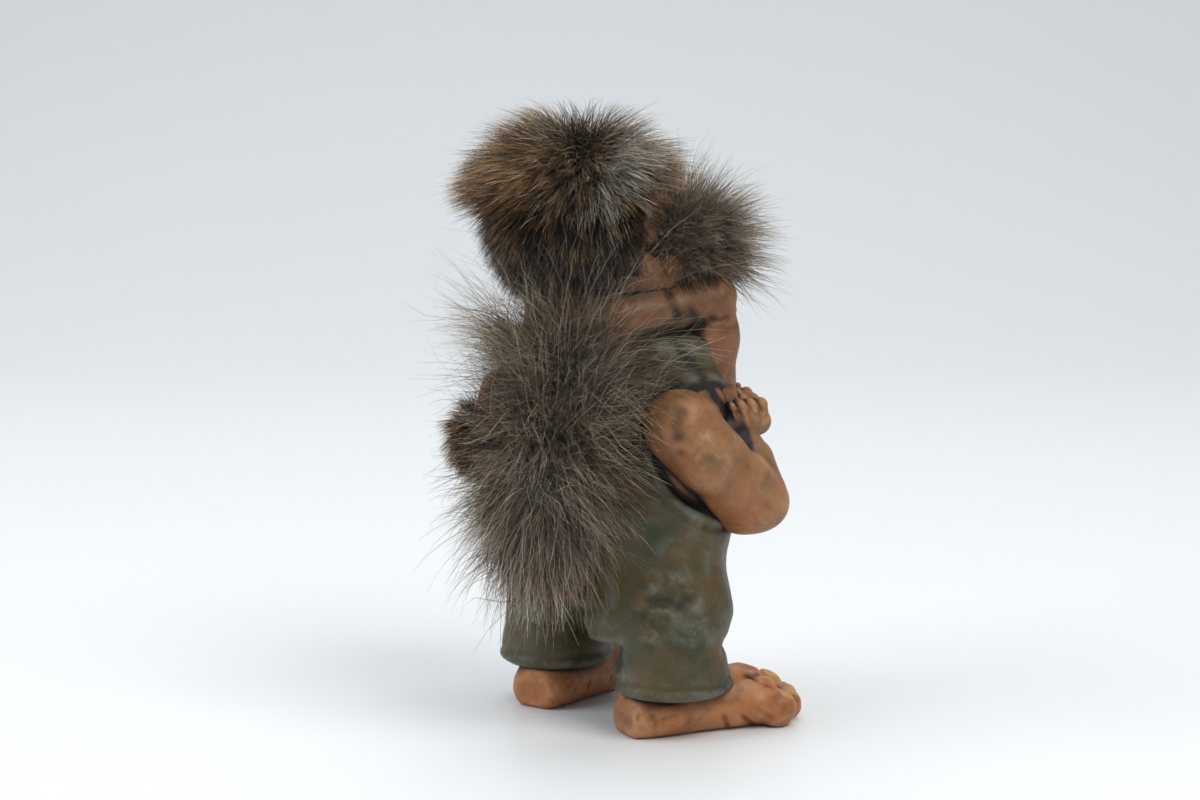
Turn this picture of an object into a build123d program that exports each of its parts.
"""A cast and painted folk figure: a barefoot grown troll in dungarees with a troll child astride its shoulders.

Millimetres. The figure faces -Y, +Z is up, its own left is +X, and it stands on its soles at Z = 0.
Its heads, limbs and feet are castings of their own, pinned and glued to the bodies with wire dowels.
"""
from build123d import *
import math
import os

os.makedirs("parts", exist_ok=True)

# Joints and clearances
glue_gap = 0.15
fur_gap = 0.35
stand_y = 4.25

# Grown body: hips, waist and shoulders in one casting with both trouser legs
body_half_width = 45.0
body_half_depth = 27.0
body_height = 127.0
body_y = -11.0
cloth_thickness = 0.9
arch_half_width = 21.0
arch_top = 39.5
arch_half_height = 13.0
armhole_reach = 13.0
armhole_radius = 18.5
neckline_radius = 15.5
neckline_depth = 8.0

# Trouser legs
leg_spread = 29.5
leg_radius = 18.2
leg_y = -7.6
hem_height = 13.5
leg_height = 41.0

# Feet
foot_length = 68.0
foot_half_width = 15.2
foot_height = 18.4
heel_radius = 12.0
heel_spread = 25.6
heel_y = -1.0
foot_splay = 13.5
toe_length = 15.0
toe_radius = 5.2
sole_cut = 1.6

# Arms of the grown troll
shoulder_spread = 36.0
shoulder_y = -5.0
shoulder_height = 100.5
shoulder_radius = 12.0
elbow_spread = 41.5
elbow_y = -28.5
elbow_height = 75.5
elbow_radius = 11.4
wrist_spread = 30.5
wrist_y = -35.0
wrist_height = 91.0
wrist_radius = 7.2
palm_spread = 27.8
palm_y = -36.5
palm_height = 98.0
palm_radius = 6.7
finger_radius = 2.35
thumb_radius = 2.7

# Head of the grown troll
head_radius = 15.6
head_half_height = 19.5
head_y = -34.0
head_height = 139.5
neck_radius = 10.5
nose_radius = 5.6
nose_reach = 20.5
mouth_radius = 0.9
ear_length = 17.0
ear_thickness = 3.4
ear_tilt = 52.0
eye_radius = 3.7
eye_spread = 6.8
eye_reach = 12.4

# Child: body
child_radius = 18.8
child_y = 5.5
child_seat_height = 106.0
child_body_height = 50.0

# Child: head
child_head_radius = 21.5
child_head_y = 8.5
child_head_lift = 60.5
child_head_height = child_seat_height + child_head_lift
child_neck_radius = 8.5
child_nose_radius = 5.3
child_nose_reach = 22.5
child_ear_length = 14.0
child_ear_thickness = 3.0
child_ear_tilt = 40.0
child_eye_radius = 3.5
child_eye_spread = 7.6
child_eye_reach = 18.6

# Child: legs and feet
child_hip_spread = 14.5
child_hip_y = 1.5
child_hip_lift = 27.0
child_hip_height = child_seat_height + child_hip_lift
child_hip_radius = 8.8
knee_spread = 24.6
knee_y = -28.6
knee_lift = 32.2
knee_height = child_seat_height + knee_lift
knee_radius = 6.9
calf_drop = 9.0
calf_radius = 7.6
ankle_spread = 24.0
ankle_y = -33.0
ankle_height = 106.0
ankle_radius = 5.0
child_foot_length = 21.0
child_foot_half_width = 4.7

# Child: arms
child_shoulder_spread = 14.5
child_shoulder_y = 3.0
child_shoulder_lift = 41.5
child_shoulder_height = child_seat_height + child_shoulder_lift
child_shoulder_radius = 6.6
child_elbow_spread = 18.8
child_elbow_y = -12.0
child_elbow_lift = 40.5
child_elbow_height = child_seat_height + child_elbow_lift
child_elbow_radius = 4.9
child_wrist_spread = 14.5
child_wrist_y = -22.5
child_wrist_lift = 47.0
child_wrist_height = child_seat_height + child_wrist_lift
child_wrist_radius = 3.7
child_palm_radius = 4.2

# Tails
tail_radius = 3.4
tail_wire_radius = 0.8
tail_root_height = 46.0
tail_rise = 60.0
tail_out = 13.0
tail_bend = 9.0
child_tail_radius = 2.2
child_tail_wire_radius = 0.5
child_tail_root_lift = 14.0
child_tail_root_height = child_seat_height + child_tail_root_lift
child_tail_out = 12.0
child_tail_drop = 20.0
child_tail_bend = 5.0
child_tail_side = 9.0

# Furs
child_hair_radius = 33.0
child_hair_half_height = 28.0
child_hair_lift = 2.0
child_hair_back = 4.5
child_face_radius = 20.5
hair_radius = 17.5
hair_root_radius = 13.0
hair_spread = 12.0
hair_forward = 6.0
hair_lift = 17.5
face_radius = 17.0
tuft_side = -3.0
tuft_top_radius = 18.0
tuft_top_y = 17.0
tuft_top_height = 122.0
tuft_radius = 28.0
tuft_y = 24.0
tuft_height = 82.0
small_tuft_top_radius = 8.0
small_tuft_radius = 9.5
small_tuft_length = 12.0

# Wire dowels that hold the castings together
dowel_radius = 1.2
dowel_length = 14.0
small_dowel_radius = 0.8
small_dowel_length = 6.5

# Half of a turn, in degrees
half_turn = 180

across = Vector(1, 0, 0)
back = Vector(0, 1, 0)
upright = Vector(0, 0, 1)
sides = {"right": -1, "left": 1}


def at(x, y, z):
    """A place of the figure, with the figure set on the middle of its stand."""
    return Vector(x, y + stand_y, z)


def between(start, end, share):
    """The place that lies this share of the way from start to end."""
    return start + (end - start) * share


def ball(middle, radius):
    """A plain ball."""
    with BuildPart() as form:
        with Locations(middle):
            Sphere(radius)
    return form.part


def egg(middle, radius, half_length, way=upright):
    """An egg that is round about its way, and this long along it from its middle to either end."""
    side_way = back if abs(way.Y) < abs(way.X) + abs(way.Z) else across
    with BuildPart() as form:
        with BuildSketch(Plane(origin=middle, x_dir=way, z_dir=way.cross(side_way))):
            with BuildLine():
                EllipticalCenterArc((0, 0), half_length, radius, start_angle=0, arc_size=half_turn)
                Line((-half_length, 0), (half_length, 0))
            make_face()
        revolve(axis=Axis(middle, way))
    return form.part


def limb(start, end, start_radius, end_radius):
    """Two balls of unlike size and the skin drawn tight over both, turned about their common axis."""
    way = end - start
    lean = math.acos((start_radius - end_radius) / way.length)
    start_touch = (start_radius * math.cos(lean), start_radius * math.sin(lean))
    start_round = (-start_radius * math.sin(lean / 2), start_radius * math.cos(lean / 2))
    end_touch = (way.length + end_radius * math.cos(lean), end_radius * math.sin(lean))
    end_round = (way.length + end_radius * math.cos(lean / 2), end_radius * math.sin(lean / 2))
    with BuildPart() as form:
        with BuildSketch(Plane(origin=start, x_dir=way, z_dir=way.cross(Vector(1, 1, 1)))):
            with BuildLine():
                ThreePointArc((-start_radius, 0), start_round, start_touch)
                Line(start_touch, end_touch)
                ThreePointArc(end_touch, end_round, (way.length + end_radius, 0))
                Line((way.length + end_radius, 0), (-start_radius, 0))
            make_face()
        revolve(axis=Axis(start, way))
    return form.part


def pin(middle, way, radius, length):
    """A straight round pin about its middle."""
    with BuildPart() as form:
        with BuildSketch(Plane(origin=middle, z_dir=way)):
            Circle(radius)
        extrude(amount=length / 2, both=True)
    return form.part


def bored(middle, way, radius, length):
    """The hole that a pin takes, with room for glue all round it."""
    return pin(middle, way, radius + glue_gap, length + 2 * glue_gap)


def tube(path, radius):
    """A round tube of constant thickness along a path."""
    with BuildPart() as form:
        with BuildSketch(Plane(origin=path @ 0, z_dir=path % 0)):
            Circle(radius)
        sweep(path=path)
    return form.part


def largest(part):
    """The piece itself, without the crumbs that a cut leaves beside it."""
    with BuildPart() as piece:
        add(part.solids().sort_by(SortBy.VOLUME)[-1])
    return piece.part


def mirrored(part):
    """The same piece for the other side of the figure."""
    with BuildPart() as other:
        mirror(part, about=Plane.YZ)
    return other.part


def keep(name, part):
    """Label one finished piece and write it out under its name."""
    part.label = name
    export_step(part, f"parts/{name}.step")


# Torso outline from the seat to the top of the shoulders
torso_height_shares = (0.25, 0.30, 0.38, 0.44, 0.50, 0.60, 0.725, 0.84, 0.93, 1.0)
torso_width_shares = (0.96, 0.97, 0.90, 0.845, 0.85, 0.83, 0.79, 0.755, 0.68, 0.46)
torso_depth_shares = (0.90, 0.95, 0.93, 0.95, 1.02, 0.98, 0.89, 0.79, 0.68, 0.42)
torso_lean_shares = (0.0, 0.0, -0.04, -0.07, -0.09, -0.13, -0.18, -0.22, -0.22, -0.22)


def torso(grow):
    """Hips, waist and shoulders as one skin through level ovals, thicker all round by grow."""
    outline = zip(torso_height_shares, torso_width_shares, torso_depth_shares, torso_lean_shares)
    lowest_share = torso_height_shares[0]
    with BuildPart() as form:
        for height, width, depth, lean in outline:
            lift = grow * (2 * (height - lowest_share) / (1 - lowest_share) - 1)
            middle = at(0, body_y + lean * body_half_depth, height * body_height + lift)
            with BuildSketch(Plane(origin=middle)):
                Ellipse(width * body_half_width + grow, depth * body_half_depth + grow)
        loft()
    return form.part


# Trouser leg outline from the hem up into the hips
leg_height_shares = (0.0, 0.12, 0.38, 0.68, 1.0)
leg_radius_shares = (0.93, 1.0, 0.93, 0.90, 0.92)
leg_spread_shares = (1.0, 1.0, 1.01, 1.0, 0.82)
leg_back_shares = (0.0, 0.0, 0.0, 0.0, 0.10)


def trouser_leg(side, grow):
    """One baggy trouser leg, gathered over the foot and joined to the hips."""
    outline = zip(leg_height_shares, leg_radius_shares, leg_spread_shares, leg_back_shares)
    with BuildPart() as form:
        for height, radius, spread, lean in outline:
            level = hem_height + height * (leg_height - hem_height) - grow * (1 - height)
            middle = at(side * spread * leg_spread, leg_y - lean * body_half_depth, level)
            with BuildSketch(Plane(origin=middle)):
                Circle(radius * leg_radius + grow)
        loft()
    return form.part


def armhole(side):
    """What the dungarees leave bare under each arm."""
    middle = at(side * 0.84 * body_half_width, body_y - 0.16 * body_half_depth, 0.725 * body_height)
    return egg(middle, armhole_radius, armhole_reach, across)


shoulder_top = at(0, body_y - 0.22 * body_half_depth, body_height)
neck_foot = shoulder_top - back * neck_radius / 2 - upright * neckline_depth
head_middle = at(0, head_y, head_height)
jaw_middle = head_middle - back * 0.22 * head_radius - upright * 0.74 * head_half_height


def adult_head_form(grow):
    """The grown head's main form: skull, jaw and the short neck that leans forward from the shoulders."""
    with BuildPart() as form:
        add(limb(head_middle - upright * 0.18 * head_half_height, head_middle + upright * 0.20 * head_half_height,
                 head_radius + grow, 0.98 * head_radius + grow))
        add(limb(jaw_middle - across * 0.20 * head_radius, jaw_middle + across * 0.20 * head_radius,
                 0.76 * head_radius + grow, 0.76 * head_radius + grow))
        add(limb(neck_foot, between(neck_foot, head_middle, 0.6), neck_radius + grow, 0.95 * neck_radius + grow))
    return form.part


# Foot outline from the back of the heel to the roots of the toes, along the foot
foot_way_shares = (0.04, 0.09, 0.18, 0.36, 0.55, 0.70, 0.80)
foot_width_shares = (0.50, 0.70, 0.79, 0.80, 0.87, 0.96, 0.97)
foot_height_shares = (0.60, 0.80, 0.90, 0.94, 1.04, 0.98, 0.80)
toe_place_shares = (-0.74, -0.26, 0.22, 0.70)
toe_size_shares = (1.22, 1.0, 0.96, 1.12)
toe_reach_shares = (0.98, 1.0, 0.96, 0.87)


def foot_plane(side, way, height):
    """A plane across the foot, this far along it from the back of its heel."""
    splay = math.radians(foot_splay)
    forward = Vector(side * math.sin(splay), -math.cos(splay), 0)
    outward = Vector(side * math.cos(splay), math.sin(splay), 0)
    heel_back = at(side * heel_spread, heel_y, height) - forward * heel_radius
    return Plane(origin=heel_back + forward * way, x_dir=outward, z_dir=-forward * side)


def foot_form(side):
    """One big flat foot with four toes, cut flat underneath."""
    with BuildPart() as form:
        for way, width, height in zip(foot_way_shares, foot_width_shares, foot_height_shares):
            level = height * foot_height / 2 - sole_cut / 2
            with BuildSketch(foot_plane(side, way * foot_length, level)):
                Ellipse(width * foot_half_width, (height * foot_height + sole_cut) / 2)
        loft()
        for place, size, reach in zip(toe_place_shares, toe_size_shares, toe_reach_shares):
            radius = size * toe_radius
            outward = foot_plane(side, 0, 0).x_dir * place * foot_half_width
            root = foot_plane(side, foot_length - toe_length - radius, foot_height / 2).origin + outward * 0.8
            tip = foot_plane(side, reach * foot_length - radius, radius - sole_cut / 2).origin + outward
            add(limb(root, tip, 0.96 * radius, radius))
        split(bisect_by=Plane.XY, keep=Keep.TOP)
    return form.part


def adult_arm_form(side, grow):
    """Upper arm, forearm and the palm that holds the child's foot."""
    shoulder = at(side * shoulder_spread, shoulder_y, shoulder_height)
    elbow = at(side * elbow_spread, elbow_y, elbow_height)
    wrist = at(side * wrist_spread, wrist_y, wrist_height)
    palm = at(side * palm_spread, palm_y, palm_height)
    with BuildPart() as form:
        add(limb(shoulder, elbow, shoulder_radius + grow, elbow_radius + grow))
        add(limb(elbow, wrist, 0.88 * elbow_radius + grow, wrist_radius + grow))
        add(limb(wrist, palm, 0.98 * wrist_radius + grow, palm_radius + grow))
    return form.part


# Fingers, as places along the palm
finger_place_shares = (-1.1, -0.4, 0.3, 1.0)


def fingers(side):
    """Four fingers and a thumb closed round the child's foot."""
    foot_top = ankle_height + finger_radius / 2
    row = (finger_place_shares[-1] - finger_place_shares[0]) / 2
    with BuildPart() as form:
        for place in finger_place_shares:
            y = palm_y + place * palm_radius
            knuckle = at(side * palm_spread, y, foot_top - finger_radius)
            tip = at(side * ankle_spread - side * 1.3 * child_foot_half_width, y, foot_top)
            add(limb(knuckle, tip, finger_radius, 0.85 * finger_radius))
        add(limb(at(side * palm_spread + side * finger_radius, palm_y - row * palm_radius, palm_height),
                 at(side * palm_spread + side * finger_radius, palm_y + row * palm_radius, palm_height),
                 2 * finger_radius, 2 * finger_radius))
        thumb_root = at(side * palm_spread - side * palm_radius / 3, palm_y, palm_height - palm_radius / 2)
        thumb_tip = at(side * ankle_spread - side * 1.7 * child_foot_half_width, palm_y - palm_radius / 2, palm_height)
        add(limb(thumb_root, thumb_tip, thumb_radius, 0.8 * thumb_radius))
    return form.part


def child_leg_form(side, grow):
    """The child's bent leg: thigh over the shoulder, shin down the chest, foot in the grown troll's hand."""
    hip = at(side * child_hip_spread, child_hip_y, child_hip_height)
    knee = at(side * knee_spread, knee_y, knee_height)
    calf = at(side * knee_spread, knee_y, knee_height - calf_drop)
    ankle = at(side * ankle_spread, ankle_y, ankle_height)
    foot = ankle + Vector(-side * child_foot_half_width / 2, -child_foot_length / 3, -child_foot_half_width)
    with BuildPart() as form:
        add(limb(hip, knee, child_hip_radius + grow, knee_radius + grow))
        add(limb(knee, calf, 0.99 * knee_radius + grow, calf_radius + grow))
        add(limb(calf, ankle, 0.99 * calf_radius + grow, ankle_radius + grow))
        add(limb(foot + back * 0.28 * child_foot_length, foot - back * 0.28 * child_foot_length,
                 0.85 * child_foot_half_width + grow, child_foot_half_width + grow))
    return form.part


# Child's body outline from the seat to the neck
child_height_shares = (0.0, 0.10, 0.28, 0.52, 0.74, 0.88, 1.0)
child_width_shares = (0.42, 0.80, 0.99, 1.0, 0.93, 0.74, 0.44)


def child_body_form(grow):
    """The child's bare round body."""
    with BuildPart() as form:
        for height, width in zip(child_height_shares, child_width_shares):
            level = child_seat_height + height * child_body_height + grow * (2 * height - 1)
            with BuildSketch(Plane(origin=at(0, child_y, level))):
                Circle(width * child_radius + grow)
        loft()
    return form.part


child_head_middle = at(0, child_head_y, child_head_height)
child_neck_foot = at(0, child_y, child_seat_height + 0.9 * child_body_height)


def child_head_form(grow):
    """The child's round head with its chin and its neck."""
    chin = child_head_middle - back * 0.62 * child_head_radius - upright * 0.72 * child_head_radius
    with BuildPart() as form:
        add(limb(child_head_middle - across * 0.05 * child_head_radius,
                 child_head_middle + across * 0.05 * child_head_radius,
                 0.95 * child_head_radius + grow, 0.95 * child_head_radius + grow))
        add(limb(chin - across * 0.14 * child_head_radius, chin + across * 0.14 * child_head_radius,
                 0.24 * child_head_radius + grow, 0.24 * child_head_radius + grow))
        add(limb(child_neck_foot, between(child_neck_foot, child_head_middle, 0.5), child_neck_radius + grow,
                 0.98 * child_neck_radius + grow))
    return form.part


def child_arm_form(side, grow):
    """The child's arm, reaching forward to hold on to the grown troll's head."""
    shoulder = at(side * child_shoulder_spread, child_shoulder_y, child_shoulder_height)
    elbow = at(side * child_elbow_spread, child_elbow_y, child_elbow_height)
    wrist = at(side * child_wrist_spread, child_wrist_y, child_wrist_height)
    reach = (wrist - elbow).normalized()
    palm = wrist + reach * 1.5 * child_palm_radius
    with BuildPart() as form:
        add(limb(shoulder, elbow, child_shoulder_radius + grow, child_elbow_radius + grow))
        add(limb(elbow, wrist, 0.90 * child_elbow_radius + grow, child_wrist_radius + grow))
        add(limb(wrist, palm, 0.95 * child_wrist_radius + grow, child_palm_radius + grow))
    return form.part


def leaf(length, inset):
    """The outline of a pointed ear, from its root at the origin to its tip."""
    half_width = 0.34 * length - inset
    with BuildSketch() as outline:
        with BuildLine():
            ThreePointArc((inset, 0), (0.42 * length, half_width), (length - 2 * inset, 0))
            ThreePointArc((length - 2 * inset, 0), (0.42 * length, -half_width), (inset, 0))
        make_face()
    return outline.sketch


def ear(side, root, length, thickness, tilt, grow=0):
    """A big pointed ear that leans out from its root, with a hollow in its front."""
    lean = math.radians(tilt)
    out = Vector(side * math.sin(lean), 0, math.cos(lean))
    with BuildPart() as form:
        with BuildSketch(Plane(origin=root, x_dir=out, z_dir=-back)):
            add(leaf(length, -grow))
        extrude(amount=thickness / 2 + grow, both=True)
        if grow == 0:
            with BuildSketch(Plane(origin=root - back * thickness / 2, x_dir=out, z_dir=-back)):
                add(leaf(length, 0.5 * thickness))
            extrude(amount=-thickness / 2, mode=Mode.SUBTRACT)
    return form.part


def adult_ear(side, grow=0):
    """The grown troll's ear, rooted in the side of the head above the child's thigh."""
    root = head_middle + Vector(side * 0.72 * head_radius, 0.15 * head_radius, 0.42 * head_half_height)
    return ear(side, root, ear_length, ear_thickness, ear_tilt, grow)


def child_ear(side, grow=0):
    """The child's ear, half under the hair."""
    root = child_head_middle + Vector(side * 0.84 * child_head_radius, -0.34 * child_head_radius,
                                      -0.24 * child_head_radius)
    return ear(side, root, child_ear_length, child_ear_thickness, child_ear_tilt, grow)


adult_eye_lift = 0.06 * head_half_height
child_eye_lift = 0.10 * child_head_radius


def adult_eye_place(side):
    """Where the grown troll's eye sits in its socket."""
    return head_middle + Vector(side * eye_spread, -eye_reach, adult_eye_lift)


def child_eye_place(side):
    """Where the child's eye sits in its socket."""
    return child_head_middle + Vector(side * child_eye_spread, -child_eye_reach, child_eye_lift)


def socket(place, radius):
    """A round-bottomed socket that opens to the front."""
    return limb(place, place - back * radius, radius, radius)


def adult_tail_path():
    """The way of the big tail: out of the seat, then up along the back."""
    root = at(tuft_side, body_y + 0.5 * body_half_depth, tail_root_height)
    turn = at(tuft_side, tuft_y + tail_out / 2, tail_root_height)
    tip = at(tuft_side, tuft_y - tail_out / 3, tail_root_height + tail_rise)
    with BuildLine() as way:
        FilletPolyline(root, turn, tip, radius=tail_bend)
    return way.line


def child_tail_path():
    """The way of the small tail: out of the child's back, then down beside the big tuft."""
    root = at(child_tail_side / 2, child_y + 0.6 * child_radius, child_tail_root_height)
    turn = root + Vector(child_tail_side / 2, 0.4 * child_radius + child_tail_out, -child_tail_bend)
    tip = turn + Vector(child_tail_bend, child_tail_bend / 2, -child_tail_drop)
    with BuildLine() as way:
        FilletPolyline(root, turn, tip, radius=child_tail_bend)
    return way.line


def ankle_dowel_place(side):
    """Upright through the hem into the foot."""
    return at(side * leg_spread, leg_y, hem_height)


def shoulder_dowel_place(side):
    """Across the shoulder joint, through the side of the body."""
    return at(side * (shoulder_spread - 0.6 * shoulder_radius), shoulder_y, shoulder_height)


def child_hip_dowel_place(side):
    """Across the child's hip."""
    return at(side * 0.96 * child_radius, child_hip_y, child_hip_height)


def child_shoulder_dowel_place(side):
    """Across the child's shoulder."""
    return at(side * 0.85 * child_radius, child_shoulder_y, child_shoulder_height)


neck_way = (head_middle - neck_foot).normalized()
neck_dowel_place = between(neck_foot, head_middle, 0.12)
seat_dowel_place = at(0, child_y - 0.2 * child_radius, child_seat_height + 0.2 * child_body_height)
tail_path = adult_tail_path()
child_tail_way = child_tail_path()

# Round arch between the trouser legs
with BuildPart() as arch_form:
    with BuildSketch(Plane(origin=at(0, body_y, arch_top - arch_half_height), z_dir=back)):
        Ellipse(arch_half_width, arch_half_height)
    extrude(amount=2 * body_half_depth, both=True)
arch = arch_form.part

# Grown body with trouser legs, dungarees as a raised layer, bare flanks and neck
with BuildPart() as dungarees:
    add(torso(cloth_thickness))
    for side in sides.values():
        add(armhole(side), mode=Mode.SUBTRACT)
    add(egg(shoulder_top, neckline_radius, neckline_depth), mode=Mode.SUBTRACT)

with BuildPart() as adult_body:
    add(torso(0))
    add(dungarees.part)
    add(arch, mode=Mode.SUBTRACT)
    for side in sides.values():
        add(trouser_leg(side, 0))
        add(bored(ankle_dowel_place(side), upright, dowel_radius, dowel_length), mode=Mode.SUBTRACT)
        add(bored(shoulder_dowel_place(side), across, dowel_radius, dowel_length), mode=Mode.SUBTRACT)
    add(tube(tail_path, tail_radius + glue_gap), mode=Mode.SUBTRACT)
    add(bored(neck_dowel_place, neck_way, dowel_radius, dowel_length), mode=Mode.SUBTRACT)
    add(bored(seat_dowel_place, back, dowel_radius, dowel_length), mode=Mode.SUBTRACT)
keep("adult_body", adult_body.part)
torso_clear = torso(cloth_thickness + glue_gap)

# Feet of the grown troll, each with a seat for the hem above it
with BuildPart() as adult_foot:
    add(foot_form(1))
    add(trouser_leg(1, glue_gap), mode=Mode.SUBTRACT)
    add(bored(ankle_dowel_place(1), upright, dowel_radius, dowel_length), mode=Mode.SUBTRACT)
keep("adult_left_foot", largest(adult_foot.part))
keep("adult_right_foot", mirrored(largest(adult_foot.part)))

# Head of the grown troll
nose_root = head_middle - back * 0.80 * head_radius + upright * 0.22 * head_half_height
nose_tip = head_middle - back * nose_reach - upright * 0.42 * head_half_height
mouth_middle = head_middle - back * 0.965 * head_radius - upright * 0.86 * head_half_height
chin = head_middle - back * 0.80 * head_radius - upright * 1.20 * head_half_height
with BuildPart() as adult_head:
    add(adult_head_form(0))
    for side in sides.values():
        add(socket(adult_eye_place(side), eye_radius + glue_gap), mode=Mode.SUBTRACT)
    add(limb(nose_root, nose_tip, 0.34 * nose_radius, nose_radius))
    add(limb(chin - across * 0.14 * head_radius, chin + across * 0.14 * head_radius, 0.28 * head_radius,
             0.28 * head_radius))
    for side in sides.values():
        add(adult_ear(side))
    add(pin(mouth_middle, across, mouth_radius, head_radius), mode=Mode.SUBTRACT)
    add(torso_clear, mode=Mode.SUBTRACT)
    add(bored(neck_dowel_place, neck_way, dowel_radius, dowel_length), mode=Mode.SUBTRACT)
keep("adult_head", largest(adult_head.part))
adult_head_clear = adult_head_form(glue_gap)

# Child's body, seated on the grown troll's shoulders behind its neck
with BuildPart() as child_body:
    add(child_body_form(0))
    add(torso_clear, mode=Mode.SUBTRACT)
    add(adult_head_clear, mode=Mode.SUBTRACT)
    add(tube(child_tail_way, child_tail_radius + glue_gap), mode=Mode.SUBTRACT)
    add(bored(seat_dowel_place, back, dowel_radius, dowel_length), mode=Mode.SUBTRACT)
    add(bored(child_neck_foot, upright, dowel_radius, dowel_length), mode=Mode.SUBTRACT)
    for side in sides.values():
        add(bored(child_hip_dowel_place(side), across, small_dowel_radius, small_dowel_length), mode=Mode.SUBTRACT)
        add(bored(child_shoulder_dowel_place(side), across, small_dowel_radius, small_dowel_length),
            mode=Mode.SUBTRACT)
keep("child_body", largest(child_body.part))
child_body_clear = child_body_form(glue_gap)

# Child's legs
with BuildPart() as child_leg:
    add(child_leg_form(1, 0))
    add(torso_clear, mode=Mode.SUBTRACT)
    add(adult_head_clear, mode=Mode.SUBTRACT)
    add(adult_ear(1, glue_gap), mode=Mode.SUBTRACT)
    add(child_body_clear, mode=Mode.SUBTRACT)
    add(bored(child_hip_dowel_place(1), across, small_dowel_radius, small_dowel_length), mode=Mode.SUBTRACT)
keep("child_left_leg", largest(child_leg.part))
keep("child_right_leg", mirrored(largest(child_leg.part)))
child_leg_clear = child_leg_form(1, glue_gap)

# Child's head
child_nose_root = child_head_middle - back * 0.70 * child_head_radius
child_nose_tip = child_head_middle - back * child_nose_reach - upright * 0.14 * child_head_radius
child_mouth = child_head_middle - back * 0.84 * child_head_radius - upright * 0.50 * child_head_radius
with BuildPart() as child_head:
    add(child_head_form(0))
    for side in sides.values():
        add(socket(child_eye_place(side), child_eye_radius + glue_gap), mode=Mode.SUBTRACT)
    add(limb(child_nose_root, child_nose_tip, 0.70 * child_nose_radius, child_nose_radius))
    for side in sides.values():
        add(child_ear(side))
    add(pin(child_mouth, across, mouth_radius, child_head_radius), mode=Mode.SUBTRACT)
    add(child_body_clear, mode=Mode.SUBTRACT)
    add(bored(child_neck_foot, upright, dowel_radius, dowel_length), mode=Mode.SUBTRACT)
keep("child_head", largest(child_head.part))
child_head_clear = child_head_form(glue_gap)

# Child's arms, with the hands laid on the grown troll's crown
with BuildPart() as child_arm:
    add(child_arm_form(1, 0))
    add(bored(child_shoulder_dowel_place(1), across, small_dowel_radius, small_dowel_length), mode=Mode.SUBTRACT)
    add(adult_head_clear, mode=Mode.SUBTRACT)
    add(adult_ear(1, glue_gap), mode=Mode.SUBTRACT)
    add(child_body_clear, mode=Mode.SUBTRACT)
    add(child_head_clear, mode=Mode.SUBTRACT)
    add(child_leg_clear, mode=Mode.SUBTRACT)
keep("child_left_arm", largest(child_arm.part))
keep("child_right_arm", mirrored(largest(child_arm.part)))

# Arms of the grown troll, each hand closed round one of the child's feet
with BuildPart() as adult_arm:
    add(adult_arm_form(1, 0))
    add(fingers(1))
    add(torso_clear, mode=Mode.SUBTRACT)
    add(adult_head_clear, mode=Mode.SUBTRACT)
    add(child_leg_clear, mode=Mode.SUBTRACT)
    add(bored(shoulder_dowel_place(1), across, dowel_radius, dowel_length), mode=Mode.SUBTRACT)
keep("adult_left_arm", largest(adult_arm.part))
keep("adult_right_arm", mirrored(largest(adult_arm.part)))

# Glass eyes
for name, side in sides.items():
    with BuildPart() as adult_eye:
        add(ball(adult_eye_place(side), eye_radius))
    keep(f"adult_{name}_eye", adult_eye.part)
    with BuildPart() as child_eye:
        add(ball(child_eye_place(side), child_eye_radius))
    keep(f"child_{name}_eye", child_eye.part)

# Tails: a bendable wire in a skin
with BuildPart() as adult_tail_wire:
    add(tube(tail_path, tail_wire_radius))
keep("adult_tail_wire", adult_tail_wire.part)
with BuildPart() as adult_tail:
    add(tube(tail_path, tail_radius))
    add(tube(tail_path, tail_wire_radius + glue_gap), mode=Mode.SUBTRACT)
keep("adult_tail", adult_tail.part)
with BuildPart() as child_tail_wire:
    add(tube(child_tail_way, child_tail_wire_radius))
keep("child_tail_wire", child_tail_wire.part)
with BuildPart() as child_tail:
    add(tube(child_tail_way, child_tail_radius))
    add(tube(child_tail_way, child_tail_wire_radius + glue_gap), mode=Mode.SUBTRACT)
keep("child_tail", child_tail.part)

# Wire dowels
with BuildPart() as ankle_dowels:
    for side in sides.values():
        add(pin(ankle_dowel_place(side), upright, dowel_radius, dowel_length))
keep("ankle_dowels", ankle_dowels.part)
with BuildPart() as shoulder_dowels:
    for side in sides.values():
        add(pin(shoulder_dowel_place(side), across, dowel_radius, dowel_length))
keep("shoulder_dowels", shoulder_dowels.part)
with BuildPart() as neck_dowel:
    add(pin(neck_dowel_place, neck_way, dowel_radius, dowel_length))
keep("neck_dowel", neck_dowel.part)
with BuildPart() as child_seat_dowel:
    add(pin(seat_dowel_place, back, dowel_radius, dowel_length))
keep("child_seat_dowel", child_seat_dowel.part)
with BuildPart() as child_neck_dowel:
    add(pin(child_neck_foot, upright, dowel_radius, dowel_length))
keep("child_neck_dowel", child_neck_dowel.part)
with BuildPart() as child_limb_dowels:
    for side in sides.values():
        add(pin(child_hip_dowel_place(side), across, small_dowel_radius, small_dowel_length))
        add(pin(child_shoulder_dowel_place(side), across, small_dowel_radius, small_dowel_length))
keep("child_limb_dowels", child_limb_dowels.part)

# Outsides of the furs
child_hair_middle = child_head_middle + back * child_hair_back + upright * child_hair_lift
small_tuft_top = child_tail_way @ 1 + upright * small_tuft_length / 2


def child_hair_form(grow):
    """The outside of the child's fur cap."""
    return egg(child_hair_middle, child_hair_radius + grow, child_hair_half_height + grow)


def small_tuft_form(grow):
    """The outside of the fur on the child's tail."""
    return limb(small_tuft_top, small_tuft_top - upright * small_tuft_length,
                small_tuft_top_radius + grow, small_tuft_radius + grow)


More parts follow.
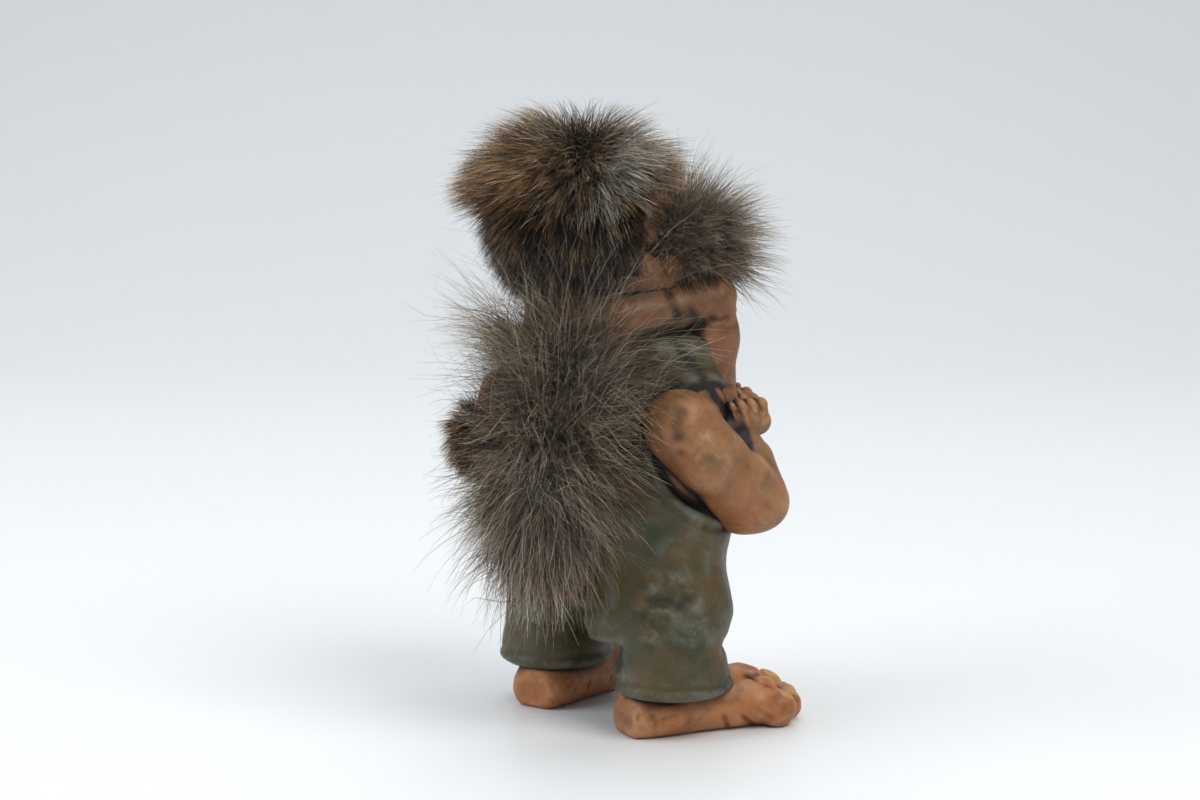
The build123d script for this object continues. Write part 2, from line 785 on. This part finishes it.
# Child's hair: a thick cap of fur, open over the face
with BuildPart() as child_hair:
    add(child_hair_form(0))
    face = child_head_middle - back * child_hair_radius - upright * 0.36 * child_head_radius
    add(egg(face, child_face_radius, child_hair_radius, back), mode=Mode.SUBTRACT)
    add(child_head_form(fur_gap), mode=Mode.SUBTRACT)
    add(child_body_form(fur_gap), mode=Mode.SUBTRACT)
    add(adult_head_form(fur_gap), mode=Mode.SUBTRACT)
    for side in sides.values():
        add(child_ear(side, fur_gap), mode=Mode.SUBTRACT)
        add(child_arm_form(side, fur_gap), mode=Mode.SUBTRACT)
keep("child_hair", largest(child_hair.part))

# Hair of the grown troll: two fans of fur that stand up in front of the child
with BuildPart() as adult_hair:
    for side in sides.values():
        root = head_middle + Vector(side * 0.2 * hair_spread, -hair_forward / 2, hair_lift / 2)
        lobe = head_middle + Vector(side * hair_spread, -hair_forward, hair_lift)
        add(limb(root, lobe, hair_root_radius, hair_radius))
    face = head_middle - back * (head_radius + hair_radius / 2) - upright * 0.25 * head_half_height
    add(egg(face, face_radius, 1.2 * hair_radius, back), mode=Mode.SUBTRACT)
    add(adult_head_form(fur_gap), mode=Mode.SUBTRACT)
    add(child_hair_form(fur_gap), mode=Mode.SUBTRACT)
    add(child_head_form(fur_gap), mode=Mode.SUBTRACT)
    add(ball(child_nose_tip, child_nose_radius + fur_gap), mode=Mode.SUBTRACT)
    for side in sides.values():
        add(adult_ear(side, fur_gap), mode=Mode.SUBTRACT)
        add(child_leg_form(side, fur_gap), mode=Mode.SUBTRACT)
        add(child_arm_form(side, fur_gap), mode=Mode.SUBTRACT)
keep("adult_hair", largest(adult_hair.part))

# Furs of the tails
with BuildPart() as adult_tail_tuft:
    add(limb(at(tuft_side, tuft_top_y, tuft_top_height), at(tuft_side, tuft_y, tuft_height),
             tuft_top_radius, tuft_radius))
    add(torso(cloth_thickness + fur_gap), mode=Mode.SUBTRACT)
    add(child_body_form(fur_gap), mode=Mode.SUBTRACT)
    add(child_hair_form(fur_gap), mode=Mode.SUBTRACT)
    add(small_tuft_form(fur_gap), mode=Mode.SUBTRACT)
    add(tube(tail_path, tail_radius + fur_gap), mode=Mode.SUBTRACT)
    add(tube(child_tail_way, child_tail_radius + fur_gap), mode=Mode.SUBTRACT)
    for side in sides.values():
        add(adult_arm_form(side, fur_gap), mode=Mode.SUBTRACT)
        add(child_leg_form(side, fur_gap), mode=Mode.SUBTRACT)
keep("adult_tail_tuft", largest(adult_tail_tuft.part))
with BuildPart() as child_tail_tuft:
    add(small_tuft_form(0))
    add(tube(child_tail_way, child_tail_radius + fur_gap), mode=Mode.SUBTRACT)
keep("child_tail_tuft", largest(child_tail_tuft.part))
